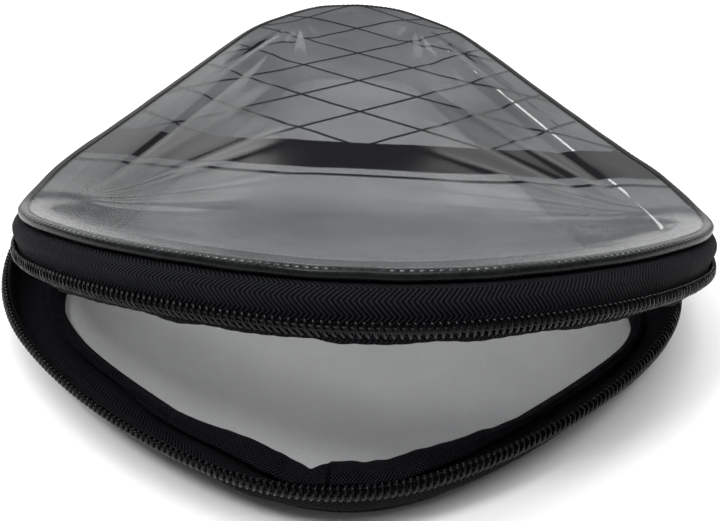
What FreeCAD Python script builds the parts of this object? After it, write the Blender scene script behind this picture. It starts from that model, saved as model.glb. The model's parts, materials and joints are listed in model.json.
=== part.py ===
"""Soft zip-round paddle case with clear windows, built as separate pieces.

The case is two shallow trays of the same plan, mouth to mouth. Each tray is a clear sheet
edged with piping, a woven zip tape that stands up as the wall, the nylon coil on that tape
and a binding folded over the seam inside. The trays meet at a fabric hinge at the narrow
end. The lid lies flat over the narrow end and is folded up across its widest line, which
opens the mouth at the wide end.

Millimetres. +Z is up, -Y points out of the mouth, +X is to the right of someone who looks
into the mouth. The origin is the middle of the flat underside.
"""
import FreeCAD, Part
import math
import os
import Sketcher

Vector = FreeCAD.Vector
Rotation = FreeCAD.Rotation
Placement = FreeCAD.Placement
X_AXIS = Vector(1, 0, 0)
Y_AXIS = Vector(0, 1, 0)
Z_AXIS = Vector(0, 0, 1)
QUARTER_TURN = math.pi / 2
HALF_TURN = math.pi

# The edges of the plan outline, from the middle of the mouth, round by the right.
EDGES = ["right_nose", "right_flank", "right_corner", "right_side", "right_rear", "hinge",
         "left_rear", "left_side", "left_corner", "left_flank", "left_nose"]

# name, value, what it is
SIZES = [
    ("rim_length", 266.0, "front to back over the zip tape at its rim"),
    ("rim_width", 198.0, "side to side over the zip tape at its rim"),
    ("nose_radius", 62.0, "plan radius at the middle of the mouth"),
    ("nose_angle", 22.8, "half the turn of the nose arc, degrees"),
    ("flank_radius", 148.0, "plan radius between the nose and the corners"),
    ("corner_radius", 73.0, "plan radius at the wide corners"),
    ("rear_radius", 32.0, "plan radius at the narrow end"),
    ("hinge_length", 24.0, "straight run at the narrow end that the hinge takes"),
    ("wall_height", 15.5, "underside of a tray to the edge of its coil"),
    ("rim_gap", 2.2, "space between the two coils where the lid lies flat"),
    ("fold_angle", 23.7, "how far the front of the lid is folded up, degrees"),
    ("tape_thickness", 0.7, "woven zip tape"),
    ("tape_foot", 5.3, "height at which the wall turns in to the seam"),
    ("seam_allowance", 12.0, "how far in from the rim the sewn edges end"),
    ("coil_width", 5.0, "a loop from its heel to its head"),
    ("coil_thickness", 1.9, "how far a loop stands off the tape"),
    ("coil_pitch", 1.65, "loop to loop along the rim"),
    ("loop_width", 1.25, "a loop along the rim"),
    ("loop_slant", 0.5, "how far a loop leans along the rim"),
    ("head_overhang", 1.3, "how far the loop heads stand past the tape"),
    ("stop_length", 2.4, "end stop along the rim"),
    ("stop_wall", 0.4, "end stop around the coil"),
    ("bead_radius", 1.4, "bead of the piping, to the middle of each flat"),
    ("bead_inset", 4.0, "bead axis behind the rim"),
    ("flange_thickness", 0.5, "sewn edge of the piping where it ends"),
    ("window_thickness", 0.5, "clear sheet"),
    ("window_tuck", 0.3, "how far the sheet reaches under the bead"),
    ("window_sag", 1.5, "how far the middle of the lid's sheet hangs below its edge"),
    ("window_slope", 16.0, "run of the sheet from the binding down to its hanging middle"),
    ("binding_reach", 8.0, "how far in from the rim the binding begins"),
    ("binding_loft", 2.4, "padded binding over the sewn edges"),
    ("binding_slope", 1.6, "how far its two upper edges draw in"),
    ("binding_wrap", 2.5, "binding past the sewn edges"),
    ("hinge_standoff", 2.4, "hinge line outside the rim"),
    ("hinge_fold_radius", 0.6, "rolled fold of the hinge band"),
    ("hinge_clearance", 0.3, "lid's half of the band above the rolled fold"),
    ("slider_length", 13.0, "slider along the zip"),
    ("slider_plate", 1.1, "slider plate thickness"),
    ("slider_clearance", 0.35, "slider around coil and tape"),
    ("slider_lip", 1.2, "slider lip beyond the coil"),
    ("slider_slot", 2.0, "slot between the inner plate and the lips, for the tape"),
    ("swing_clearance", 2.4, "lid's coil in front of the parked slider"),
    ("slider_neck_length", 3.6, "wedge that joins the plates"),
    ("slider_neck_width", 1.4, "wedge between the coils"),
    ("slider_corner", 2.4, "plate corner radius"),
    ("bridge_length", 8.4, "bridge over the outer plate"),
    ("bridge_height", 3.6, "bridge above the outer plate"),
    ("bridge_width", 2.2, "bridge across the zip"),
    ("bridge_bar", 1.0, "bridge metal over its eye"),
    ("slider_park", 9.0, "slider centre from the rear end of the straight side"),
    ("tab_length", 24.0, "pull tab from its pin"),
    ("tab_width", 8.0, "pull tab"),
    ("tab_thickness", 1.4, "pull tab"),
    ("tab_pin_radius", 0.8, "cross pin of the pull tab"),
    ("tab_arm", 1.5, "arms of the pull tab beside the bridge"),
    ("tab_hole_radius", 1.5, "hole near the end of the pull tab"),
]


class Size:
    """A length or angle as a number, with the spreadsheet formula that gives it."""

    def __init__(self, value, text):
        self.value = value
        self.text = text

    def __add__(self, other):
        other = as_size(other)
        return Size(self.value + other.value, f"({self.text} + {other.text})")

    def __sub__(self, other):
        other = as_size(other)
        return Size(self.value - other.value, f"({self.text} - {other.text})")

    def __mul__(self, factor):
        factor = as_size(factor)
        return Size(self.value * factor.value, f"({self.text} * {factor.text})")

    def __truediv__(self, factor):
        factor = as_size(factor)
        return Size(self.value / factor.value, f"({self.text} / {factor.text})")

    def __neg__(self):
        return self * -1


def as_size(number):
    return number if isinstance(number, Size) else Size(float(number), f"({float(number)})")


def sine(angle):
    return Size(math.sin(math.radians(angle.value)), f"sin({angle.text} * 1deg)")


class Sizes:
    """The driving dimensions, read back from the spreadsheet by name."""


doc = FreeCAD.newDocument("paddle_case")
sheet = doc.addObject("Spreadsheet::Sheet", "sizes")
for row, (name, value, meaning) in enumerate(SIZES, start=1):
    sheet.set(f"A{row}", name)
    sheet.set(f"B{row}", str(value))
    sheet.setAlias(f"B{row}", name)
    sheet.set(f"C{row}", meaning)
doc.recompute()

size = Sizes()
for name, _, _ in SIZES:
    setattr(size, name, Size(float(sheet.get(name)), f"sizes.{name}"))

half_length = size.rim_length / 2
half_width = size.rim_width / 2
hinge_half = size.hinge_length / 2
closed_height = size.wall_height * 2 + size.rim_gap
tape_top = size.wall_height - size.head_overhang
coil_heel = size.wall_height - size.coil_width


# ---------------------------------------------------------------- plan outline

def mirrored(point):
    return Vector(-point.x, point.y, 0)


class Plan:
    """Arc centres and angles of the plan. An offset changes only the radii."""

    def __init__(self):
        nose_turn = math.radians(size.nose_angle.value)
        along_nose = Vector(math.sin(nose_turn), -math.cos(nose_turn), 0)
        self.nose_turn = nose_turn
        self.nose = Vector(0, size.nose_radius.value - half_length.value, 0)
        self.flank = self.nose + along_nose * (size.nose_radius.value - size.flank_radius.value)
        corner_x = half_width.value - size.corner_radius.value
        reach = size.flank_radius.value - size.corner_radius.value
        across = corner_x - self.flank.x
        self.widest_y = self.flank.y - math.sqrt(reach ** 2 - across ** 2)
        self.corner = Vector(corner_x, self.widest_y, 0)
        self.rear = Vector(hinge_half.value, half_length.value - size.rear_radius.value, 0)
        to_corner = self.corner - self.flank
        self.flank_end = math.atan2(to_corner.y, to_corner.x)
        side = self.rear - self.corner
        radius_drop = size.corner_radius.value - size.rear_radius.value
        self.side_angle = math.atan2(side.y, side.x) - math.acos(radius_drop / side.Length)
        self.side_normal = Vector(math.cos(self.side_angle), math.sin(self.side_angle), 0)

    def side_ends(self, offset=0.0):
        """Front and rear end of the straight right side."""
        front = self.corner + self.side_normal * (size.corner_radius.value + offset)
        rear = self.rear + self.side_normal * (size.rear_radius.value + offset)
        return front, rear

    def edges(self, offset=0.0):
        """The closed outline, in the order of EDGES."""
        def arc(centre, radius, start, end):
            circle = Part.Circle(centre, Z_AXIS, radius.value + offset)
            return Part.ArcOfCircle(circle, start, end)

        front, rear = self.side_ends(offset)
        back_y = half_length.value + offset
        nose_end = self.nose_turn - QUARTER_TURN
        return [
            arc(self.nose, size.nose_radius, -QUARTER_TURN, nose_end),
            arc(self.flank, size.flank_radius, nose_end, self.flank_end),
            arc(self.corner, size.corner_radius, self.flank_end, self.side_angle),
            Part.LineSegment(front, rear),
            arc(self.rear, size.rear_radius, self.side_angle, QUARTER_TURN),
            Part.LineSegment(Vector(hinge_half.value, back_y, 0), Vector(-hinge_half.value, back_y, 0)),
            arc(mirrored(self.rear), size.rear_radius, QUARTER_TURN, HALF_TURN - self.side_angle),
            Part.LineSegment(mirrored(rear), mirrored(front)),
            arc(mirrored(self.corner), size.corner_radius,
                HALF_TURN - self.side_angle, HALF_TURN - self.flank_end),
            arc(mirrored(self.flank), size.flank_radius,
                HALF_TURN - self.flank_end, 3 * QUARTER_TURN - self.nose_turn),
            arc(self.nose, size.nose_radius, 3 * QUARTER_TURN - self.nose_turn, 3 * QUARTER_TURN),
        ]


plan = Plan()
crease = Vector(0, plan.widest_y, closed_height.value)


# ---------------------------------------------------------------- sketch helpers

def origin_plane(body, role):
    return next(plane for plane in body.Origin.OriginFeatures if plane.Role == role)


def new_body(label):
    body = doc.addObject("PartDesign::Body", label)
    body.Label = label
    return body


def new_sketch(body, name, role="XY_Plane", height=None):
    """A sketch on one of the body's origin planes, raised by a height if one is given."""
    sketch = body.newObject("Sketcher::SketchObject", name)
    sketch.AttachmentSupport = (origin_plane(body, role), [""])
    sketch.MapMode = "FlatFace"
    if height is not None:
        sketch.setExpression("AttachmentOffset.Base.z", height.text)
    return sketch


def dimension(sketch, kind, *where, to):
    """Add a dimension and bind it to the spreadsheet."""
    index = sketch.addConstraint(Sketcher.Constraint(kind, *where, to.value))
    sketch.setExpression(f"Constraints[{index}]", to.text)


def draw_plan(sketch, offset):
    """Draw the plan outline, fully constrained, at an offset from the rim."""
    first = sketch.GeometryCount
    at = {name: first + index for index, name in enumerate(EDGES)}
    sketch.addGeometry(plan.edges(offset.value), False)
    for name, following in zip(EDGES, EDGES[1:] + EDGES[:1]):
        sketch.addConstraint(Sketcher.Constraint("Tangent", at[name], 2, at[following], 1))
    radii = {"nose": size.nose_radius, "flank": size.flank_radius,
             "corner": size.corner_radius, "rear": size.rear_radius}
    for name in EDGES:
        kind = name.split("_")[-1]
        if kind in radii:
            dimension(sketch, "Radius", at[name], to=radii[kind] + offset)
    sketch.addConstraint(Sketcher.Constraint("PointOnObject", at["right_nose"], 1, -2))
    sketch.addConstraint(Sketcher.Constraint("PointOnObject", at["right_nose"], 3, -2))
    sketch.addConstraint(Sketcher.Constraint("Horizontal", at["hinge"]))
    nose_half = (size.nose_radius + offset) * sine(size.nose_angle)
    corner_x = half_width - size.corner_radius
    dimension(sketch, "DistanceY", at["right_nose"], 3, -1, 1, to=half_length - size.nose_radius)
    dimension(sketch, "DistanceX", -1, 1, at["right_nose"], 2, to=nose_half)
    dimension(sketch, "DistanceX", at["left_nose"], 1, -1, 1, to=nose_half)
    dimension(sketch, "DistanceX", -1, 1, at["right_corner"], 3, to=corner_x)
    dimension(sketch, "DistanceX", at["left_corner"], 3, -1, 1, to=corner_x)
    dimension(sketch, "DistanceX", -1, 1, at["hinge"], 1, to=hinge_half)
    dimension(sketch, "DistanceX", at["hinge"], 2, -1, 1, to=hinge_half)
    dimension(sketch, "DistanceY", -1, 1, at["hinge"], 1, to=half_length + offset)


def draw_polygon(sketch, corners):
    """Draw a closed polygon whose corners are bound to the spreadsheet."""
    first = sketch.GeometryCount
    count = len(corners)
    points = [Vector(across.value, up.value, 0) for across, up in corners]
    for index in range(count):
        sketch.addGeometry(Part.LineSegment(points[index], points[(index + 1) % count]), False)
    for index in range(count):
        following = first + (index + 1) % count
        sketch.addConstraint(Sketcher.Constraint("Coincident", first + index, 2, following, 1))
    for index, (across, up) in enumerate(corners):
        dimension(sketch, "DistanceX", -1, 1, first + index, 1, to=across)
        dimension(sketch, "DistanceY", -1, 1, first + index, 1, to=up)


def rectangle(left, right, low, high):
    return [(left, low), (right, low), (right, high), (left, high)]


def draw_circle(sketch, centre, radius):
    """Draw a circle whose centre and radius are bound to the spreadsheet."""
    across, up = centre
    index = sketch.GeometryCount
    sketch.addGeometry(Part.Circle(Vector(across.value, up.value, 0), Z_AXIS, radius.value), False)
    dimension(sketch, "DistanceX", -1, 1, index, 3, to=across)
    dimension(sketch, "DistanceY", -1, 1, index, 3, to=up)
    dimension(sketch, "Radius", index, to=radius)


def add_pad(body, sketch, name, length, midplane=False, reversed_way=False):
    pad = body.newObject("PartDesign::Pad", name)
    pad.Profile = sketch
    pad.setExpression("Length", length.text)
    pad.Midplane = midplane
    pad.Reversed = reversed_way
    body.Tip = pad
    return pad


def front_section(section, upper):
    """Place a wall section, given as (out from the rim, up), at the front of a tray."""
    return [(-(half_length + out), closed_height - up if upper else up) for out, up in section]


def rear_section(section, upper):
    """Place a wall section at the rear of a tray."""
    return [(half_length + out, closed_height - up if upper else up) for out, up in section]


# ---------------------------------------------------------------- wall sections

def seam_levels():
    """Heights at the sewn edges: window top, piping top, tape top and binding top."""
    window = size.window_thickness
    piping = window + size.flange_thickness
    tape = piping + size.tape_thickness
    return window, piping, tape, tape + size.binding_loft


def tape_section():
    """Zip tape: it rises from the sewn edges to the foot of the wall and stands up to the rim."""
    _, low, high, _ = seam_levels()
    inner = -size.tape_thickness
    edge = -size.seam_allowance
    return [(as_size(0), tape_top), (inner, tape_top), (inner, inner_foot_level()),
            (edge, high), (edge, low), (as_size(0), size.tape_foot)]


def inner_foot_level():
    """Height at which the inner side of the wall turns in to the seam."""
    return size.tape_foot + size.tape_thickness / 2


def tape_level(reach):
    """Height of the tape's inner side where it lies this far in from the rim."""
    _, _, high, _ = seam_levels()
    rise = inner_foot_level() - high
    run = size.seam_allowance - size.tape_thickness
    return high + rise * (size.seam_allowance - reach) / run


def binding_section():
    """Binding: padded over the tape, folded round the sewn edges down to the window."""
    low, _, high, top = seam_levels()
    edge = -size.seam_allowance
    fold = edge - size.binding_wrap
    return [(-size.binding_reach, tape_level(size.binding_reach)),
            (-size.binding_reach - size.binding_slope, top),
            (fold + size.binding_slope, top), (fold, low), (edge, low), (edge, high)]


def piping_section():
    """Piping: a six-sided bead that stands out under the wall, on a flange that tapers inwards."""
    low, high, _, _ = seam_levels()
    edge = -size.seam_allowance
    half_flat = size.bead_radius * math.tan(HALF_TURN / 6)
    point = size.bead_radius / math.cos(HALF_TURN / 6)
    centre = -size.bead_inset
    lip = centre - half_flat - size.window_tuck
    return [(edge, low), (lip, low), (centre - half_flat, as_size(0)),
            (centre + half_flat, as_size(0)), (centre + point, size.bead_radius),
            (centre + half_flat, size.bead_radius * 2),
            (centre - half_flat, size.bead_radius * 2), (edge, high)]


def hinge_section(upper):
    """Half of the hinge band: the tape section, leaning out to the hinge line at the top.

    The base's half ends in the rolled fold on the hinge line, the lid's half just short of it.
    """
    middle = size.wall_height + size.rim_gap / 2
    fold_side = size.hinge_standoff - size.hinge_fold_radius
    inner_shoulder = (-size.tape_thickness, coil_heel + size.tape_thickness / 2)
    if upper:
        end = middle - size.hinge_fold_radius - size.hinge_clearance
        tip = [(fold_side, end - size.tape_thickness / 2), (fold_side, end),
               (fold_side - size.tape_thickness, end)]
    else:
        tip = [(size.hinge_standoff, middle - size.hinge_fold_radius / 2),
               (size.hinge_standoff, middle), (fold_side, middle)]
    return [(as_size(0), coil_heel)] + tip + [inner_shoulder] + tape_section()[2:]


# ---------------------------------------------------------------- ring pieces

def sweep_round(label, section, upper):
    """Sweep a wall section once round the rim."""
    body = new_body(label)
    path = new_sketch(body, label + "_path")
    draw_plan(path, as_size(0))
    profile = new_sketch(body, label + "_section", "YZ_Plane")
    draw_polygon(profile, front_section(section, upper))
    sweep = body.newObject("PartDesign::AdditivePipe", label + "_sweep")
    sweep.Profile = profile
    sweep.Spine = (path, [f"Edge{number}" for number, _ in enumerate(EDGES, start=1)])
    body.Tip = sweep
    return body


def open_at_hinge(body):
    """Cut a swept ring away where the hinge band takes its place."""
    doc.recompute()
    before = body.Shape.Volume
    cut = new_sketch(body, body.Label + "_hinge_cut")
    inside = half_length - size.seam_allowance * 2
    outside = half_length + size.seam_allowance
    draw_polygon(cut, rectangle(-hinge_half, hinge_half, inside, outside))
    pocket = body.newObject("PartDesign::Pocket", body.Label + "_hinge_gap")
    pocket.Profile = cut
    pocket.Type = 1
    pocket.Midplane = True
    body.Tip = pocket
    doc.recompute()
    if not body.Shape.Volume < before:
        raise RuntimeError(f"{body.Label}: the hinge gap removed nothing")
    return body


def side_block(label, right):
    """A block over one straight side of the case, from tangent point to tangent point."""
    front, rear = plan.side_ends()
    start, end, out = rear, front, plan.side_normal
    if not right:
        start, end, out = mirrored(front), mirrored(rear), mirrored(out)
    block = doc.addObject("Part::Box", label)
    block.Length = (end - start).Length
    block.setExpression("Width", (size.seam_allowance * 3).text)
    block.setExpression("Height", (size.rim_length * 2).text)
    corner = start - out * size.seam_allowance.value * 2 - Z_AXIS * size.rim_length.value
    along = (end - start).normalize()
    block.Placement = Placement(corner, Rotation(along, out, Z_AXIS, "XYZ"))
    return block


def in_lengths(whole, label, blocks):
    """Divide a tape where its sides meet its corners, so that the sides are straight lengths."""
    lengths = []
    for number, block in enumerate(blocks, start=1):
        side = doc.addObject("Part::Common", f"{label}_side_{number}")
        side.Base = whole
        side.Tool = block
        lengths.append(side)
    both = doc.addObject("Part::Fuse", label + "_side_blocks")
    both.Base, both.Tool = blocks
    corners = doc.addObject("Part::Cut", label + "_corners")
    corners.Base = whole
    corners.Tool = both
    tape = doc.addObject("Part::Compound", label)
    tape.Label = label
    tape.Links = lengths + [corners]
    return tape


def make_tape(label, upper):
    return open_at_hinge(sweep_round(label, tape_section(), upper))


def make_binding(label, upper):
    return sweep_round(label, binding_section(), upper)


def make_piping(label, upper):
    return sweep_round(label, piping_section(), upper)


def make_window(label, upper):
    """Clear sheet that closes a tray. The base's lies flat and the lid's hangs in its edge."""
    body = new_body(label)
    under = closed_height - size.window_thickness if upper else as_size(0)
    sketch = new_sketch(body, label + "_outline", height=under)
    lip = piping_section()[1][0]
    draw_plan(sketch, lip)
    add_pad(body, sketch, label + "_sheet", size.window_thickness)
    if upper:
        hang(body, "PartDesign::AdditiveLoft", "underside", under)
        hang(body, "PartDesign::SubtractiveLoft", "top", closed_height)
    return body


def hang(body, kind, side, level):
    """Add or remove the shallow hollow that begins past the binding and ends at the middle."""
    begin = -size.seam_allowance - size.binding_wrap - size.window_tuck
    edge = new_sketch(body, f"{body.Label}_{side}_edge", height=level)
    draw_plan(edge, begin)
    middle = new_sketch(body, f"{body.Label}_{side}_middle", height=level - size.window_sag)
    draw_plan(middle, begin - size.window_slope)
    loft = body.newObject(kind, f"{body.Label}_{side}_hang")
    loft.Profile = edge
    loft.Sections = [middle]
    loft.Ruled = True
    body.Tip = loft


def make_hinge_band(label, upper):
    """Half of the fabric band that closes the narrow end and carries the lid."""
    body = new_body(label)
    section = new_sketch(body, label + "_section", "YZ_Plane")
    draw_polygon(section, rear_section(hinge_section(upper), upper))
    add_pad(body, section, label + "_leaf", size.hinge_length, midplane=True)
    if not upper:
        fold = new_sketch(body, label + "_fold", "YZ_Plane")
        centre = (half_length + size.hinge_standoff, size.wall_height + size.rim_gap / 2)
        draw_circle(fold, centre, size.hinge_fold_radius)
        add_pad(body, fold, label + "_roll", size.hinge_length, midplane=True)
    return body


# ---------------------------------------------------------------- the lid's fold

def fold_placement():
    """Turn about the lid's widest line, which lifts the front of the lid."""
    turn = Rotation(X_AXIS, -size.fold_angle.value)
    return Placement(crease - turn.multVec(crease), turn)


def half_space(label, front):
    """A block on one side of the mitre plane through the crease."""
    block = doc.addObject("Part::Box", label)
    for side in ("Length", "Width", "Height"):
        block.setExpression(side, (size.rim_length * 2).text)
    reach = size.rim_length.value
    tilt = Rotation(X_AXIS, size.fold_angle.value / 2 * (1 if front else -1))
    corner = Vector(-reach, -2 * reach if front else 0, -reach)
    block.Placement = Placement(crease + tilt.multVec(corner), tilt)
    return block


rear_side = half_space("lid_rear_side", front=False)
front_side = half_space("lid_front_side", front=True)


def folded(flat, label):
    """Mitre a flat lid piece at the crease and turn its front up."""
    rear = doc.addObject("Part::Common", label + "_rear")
    rear.Base = flat
    rear.Tool = rear_side
    front = doc.addObject("Part::Common", label + "_front")
    front.Base = flat
    front.Tool = front_side
    front.Placement = fold_placement()
    whole = doc.addObject("Part::Fuse", label)
    whole.Label = label
    whole.Base = rear
    whole.Tool = front
    whole.Refine = False
    return whole


# ---------------------------------------------------------------- zip coils

class Rim:
    """Points along the rim, from the rear end of the right side round the front to the left."""

    def __init__(self):
        edges = plan.edges()
        right = edges[:EDGES.index("right_rear")]
        left = edges[EDGES.index("left_rear"):]
        ahead = right[::-1] + left[::-1]
        self.stretches = [(edge, edge.length()) for edge in ahead]
        self.length = sum(length for _, length in self.stretches)
        side_length = self.stretches[0][1]
        rear_length = self.stretches[-1][1]
        to_crease = side_length + plan.side_angle * size.corner_radius.value
        self.creases = (to_crease, self.length - rear_length - to_crease)

    def at(self, distance):
        """Point on the rim and the unit vector out of the wall there."""
        for edge, length in self.stretches:
            if distance <= length:
                parameter = edge.parameterAtDistance(length - distance, edge.FirstParameter)
                ahead = edge.tangent(parameter)[0] * -1
                return edge.value(parameter), ahead.cross(Z_AXIS) * -1
            distance -= length
        raise ValueError("past the end of the rim")


rim = Rim()


def frame_at(distance, upper, raised=False):
    """Placement with X along the rim, Y up from the heel to the head and Z out of the wall."""
    point, out = rim.at(distance)
    up = Z_AXIS * (-1 if upper else 1)
    level = closed_height.value - coil_heel.value if upper else coil_heel.value
    turn = Rotation(up.cross(out), up, out, "XYZ")
    placement = Placement(Vector(point.x, point.y, level), turn)
    return fold_placement() * placement if raised else placement


def loop_solid():
    """One loop of the coil: a ridge with a flat back on the tape, leaning along the rim."""
    half = size.loop_width.value / 2
    lean = size.loop_slant.value
    ridge = Vector(-lean / 2, 0, size.coil_thickness.value)
    foot = Vector(-half - lean / 2, 0, 0)
    base = Part.makePolygon([foot, Vector(half - lean / 2, 0, 0), ridge, foot])
    return Part.Face(base).extrude(Vector(lean, size.coil_width.value, 0))


def coil_runs(upper, first, last):
    """Stretches of coil as (from, to, raised). The lid's coil fans out where the lid folds."""
    if not upper:
        return [(first, last, False)]
    drop = size.wall_height.value - size.coil_width.value / 2
    fan = drop * math.tan(math.radians(size.fold_angle.value / 2)) - size.coil_pitch.value / 2
    right, left = rim.creases
    return [(first, right + fan, False), (right - fan, left + fan, True), (left - fan, last, False)]


def make_coil(label, upper, first, last):
    """All loops of one coil, at the pitch, between two distances along the rim."""
    loop = loop_solid()
    loops = []
    for start, end, raised in coil_runs(upper, first, last):
        count = int((end - start) / size.coil_pitch.value) + 1
        for index in range(count):
            copy = loop.copy()
            copy.Placement = frame_at(start + index * size.coil_pitch.value, upper, raised)
            loops.append(copy)
    coil = doc.addObject("Part::Feature", label)
    coil.Label = label
    coil.Shape = Part.makeCompound(loops)
    return coil


def make_stops(label, upper, distances):
    """Clamps over the ends of one coil."""
    stops = []
    for index, distance in enumerate(distances):
        stop = doc.addObject("Part::Box", f"{label}_{index + 1}")
        stop.setExpression("Length", size.stop_length.text)
        stop.setExpression("Width", (size.coil_width + size.stop_wall).text)
        stop.setExpression("Height", (size.coil_thickness + size.stop_wall).text)
        corner = Vector(-size.stop_length.value / 2, -size.stop_wall.value, 0)
        place = frame_at(distance, upper)
        stop.Placement = Placement(place.multVec(corner), place.Rotation)
        stops.append(stop)
    group = doc.addObject("Part::Compound", label)
    group.Label = label
    group.Links = stops
    return group


# ---------------------------------------------------------------- slider and pull tab

def slider_frame():
    """X along the side to the mouth, Y down, Z out of the wall, origin between the coils."""
    front, rear = plan.side_ends()
    ahead = (front - rear).normalize()
    middle = size.wall_height.value + size.rim_gap.value / 2
    base = rear + ahead * size.slider_park.value + Z_AXIS * middle
    return Placement(base, Rotation(ahead, -Z_AXIS, plan.side_normal, "XYZ"))


def rounded_plate(sketch, half_long, half_high, radius):
    """Rectangle with round corners, centred on the origin and bound to the spreadsheet."""
    right, top = half_long.value - radius.value, half_high.value - radius.value
    centres = [(right, top), (-right, top), (-right, -top), (right, -top)]
    for index, (x, y) in enumerate(centres):
        circle = Part.Circle(Vector(x, y, 0), Z_AXIS, radius.value)
        start = index * QUARTER_TURN
        sketch.addGeometry(Part.ArcOfCircle(circle, start, start + QUARTER_TURN), False)
    for index in range(4):
        end = sketch.Geometry[index].EndPoint
        start = sketch.Geometry[(index + 1) % 4].StartPoint
        sketch.addGeometry(Part.LineSegment(end, start), False)
    for index in range(4):
        line = index + 4
        sketch.addConstraint(Sketcher.Constraint("Tangent", index, 2, line, 1))
        sketch.addConstraint(Sketcher.Constraint("Tangent", line, 2, (index + 1) % 4, 1))
        dimension(sketch, "Radius", index, to=radius)
    centre_x, centre_y = half_long - radius, half_high - radius
    dimension(sketch, "DistanceX", -1, 1, 0, 3, to=centre_x)
    dimension(sketch, "DistanceY", -1, 1, 0, 3, to=centre_y)
    dimension(sketch, "DistanceX", -1, 1, 2, 3, to=-centre_x)
    dimension(sketch, "DistanceY", -1, 1, 2, 3, to=-centre_y)


def make_slider():
    """Two plates round both coils, joined by the wedge between them, with lips and a bridge."""
    body = new_body("slider_body")
    half_long = size.slider_length / 2
    row = size.rim_gap / 2 + size.coil_width
    half_high = row + size.slider_clearance + size.slider_lip
    inner_top = -(size.tape_thickness + size.slider_clearance)
    outer_low = size.coil_thickness + size.slider_clearance
    outer_high = outer_low + size.slider_plate

    inner = new_sketch(body, "inner_plate", height=inner_top - size.slider_plate)
    rounded_plate(inner, half_long, half_high, size.slider_corner)
    add_pad(body, inner, "inner_plate_pad", size.slider_plate)

    wedge = new_sketch(body, "wedge", height=inner_top - size.slider_plate / 2)
    neck = size.slider_neck_width / 2
    nose = half_long - size.slider_plate
    draw_polygon(wedge, [(nose - size.slider_neck_length, as_size(0)),
                         (nose - size.slider_neck_length / 2, -neck), (nose, -neck),
                         (nose, neck), (nose - size.slider_neck_length / 2, neck)])
    add_pad(body, wedge, "wedge_pad", outer_low - inner_top + size.slider_plate)

    outer = new_sketch(body, "outer_plate", height=outer_low)
    rounded_plate(outer, half_long, half_high, size.slider_corner)
    add_pad(body, outer, "outer_plate_pad", size.slider_plate)

    lips = new_sketch(body, "lips", height=outer_high - size.slider_plate / 2)
    lip_end = half_long - size.slider_corner
    lip_low = row + size.slider_clearance
    draw_polygon(lips, rectangle(-lip_end, lip_end, lip_low, half_high))
    draw_polygon(lips, rectangle(-lip_end, lip_end, -half_high, -lip_low))
    lip_depth = outer_high - size.slider_plate / 2 - (inner_top + size.slider_slot)
    add_pad(body, lips, "lips_pad", lip_depth, reversed_way=True)

    bridge = new_sketch(body, "bridge", "XZ_Plane")
    foot = outer_high - size.slider_plate / 2
    top = outer_high + size.bridge_height
    end = size.bridge_length / 2
    bar = size.bridge_bar
    draw_polygon(bridge, [(-end, foot), (-end, top - bar * 2), (-end + bar * 2, top),
                          (end - bar * 2, top), (end, top - bar * 2), (end, foot),
                          (end - bar, foot), (end - bar, top - bar * 2),
                          (end - bar * 2, top - bar), (-end + bar * 2, top - bar),
                          (-end + bar, top - bar * 2), (-end + bar, foot)])
    add_pad(body, bridge, "bridge_pad", size.bridge_width, midplane=True)
    body.Placement = slider_frame()
    return body


def tab_pin_along():
    """How far the pull tab's pin lies ahead of the slider's middle, at the front of the eye."""
    return size.bridge_length / 2 - size.bridge_bar - size.slider_clearance - size.tab_pin_radius


def tab_pin_place():
    """Centre of the pull tab's pin in the slider's frame: X along the side, Z out of the wall."""
    eye_floor = size.coil_thickness + size.slider_clearance + size.slider_plate
    out = eye_floor + size.slider_clearance + size.tab_pin_radius
    return Vector(tab_pin_along().value, 0, out.value)


def make_pull_tab():
    """Flat tab with two arms beside the bridge and a pin through its eye."""
    body = new_body("pull_tab")
    inner = size.bridge_width / 2 + size.slider_clearance
    outer = inner + size.tab_arm
    half_thick = size.tab_thickness / 2
    pin = new_sketch(body, "pin", "XZ_Plane")
    draw_circle(pin, (as_size(0), as_size(0)), size.tab_pin_radius)
    add_pad(body, pin, "pin_pad", outer * 2, midplane=True)

    arms_end = tab_pin_along() + size.bridge_length / 2 + size.bridge_bar
    arms = new_sketch(body, "arms", height=-half_thick)
    draw_polygon(arms, rectangle(as_size(0), arms_end, inner, outer))
    draw_polygon(arms, rectangle(as_size(0), arms_end, -outer, -inner))
    add_pad(body, arms, "arms_pad", size.tab_thickness)

    plate = new_sketch(body, "plate", height=-half_thick)
    wide = size.tab_width / 2
    shoulder = arms_end + size.tab_arm
    nose = size.tab_length - wide / 2
    draw_polygon(plate, [(arms_end - size.slider_clearance, -outer), (shoulder, -wide), (nose, -wide),
                         (size.tab_length, -wide / 2), (size.tab_length, wide / 2),
                         (nose, wide), (shoulder, wide), (arms_end - size.slider_clearance, outer)])
    add_pad(body, plate, "plate_pad", size.tab_thickness)

    hole = new_sketch(body, "tab_hole")
    draw_circle(hole, (size.tab_length - wide, as_size(0)), size.tab_hole_radius)
    cut = body.newObject("PartDesign::Pocket", "tab_hole_cut")
    cut.Profile = hole
    cut.Type = 1
    cut.Midplane = True
    body.Tip = cut
    frame = slider_frame()
    body.Placement = Placement(frame.multVec(tab_pin_place()), frame.Rotation)
    return body


# ---------------------------------------------------------------- assembly

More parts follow.
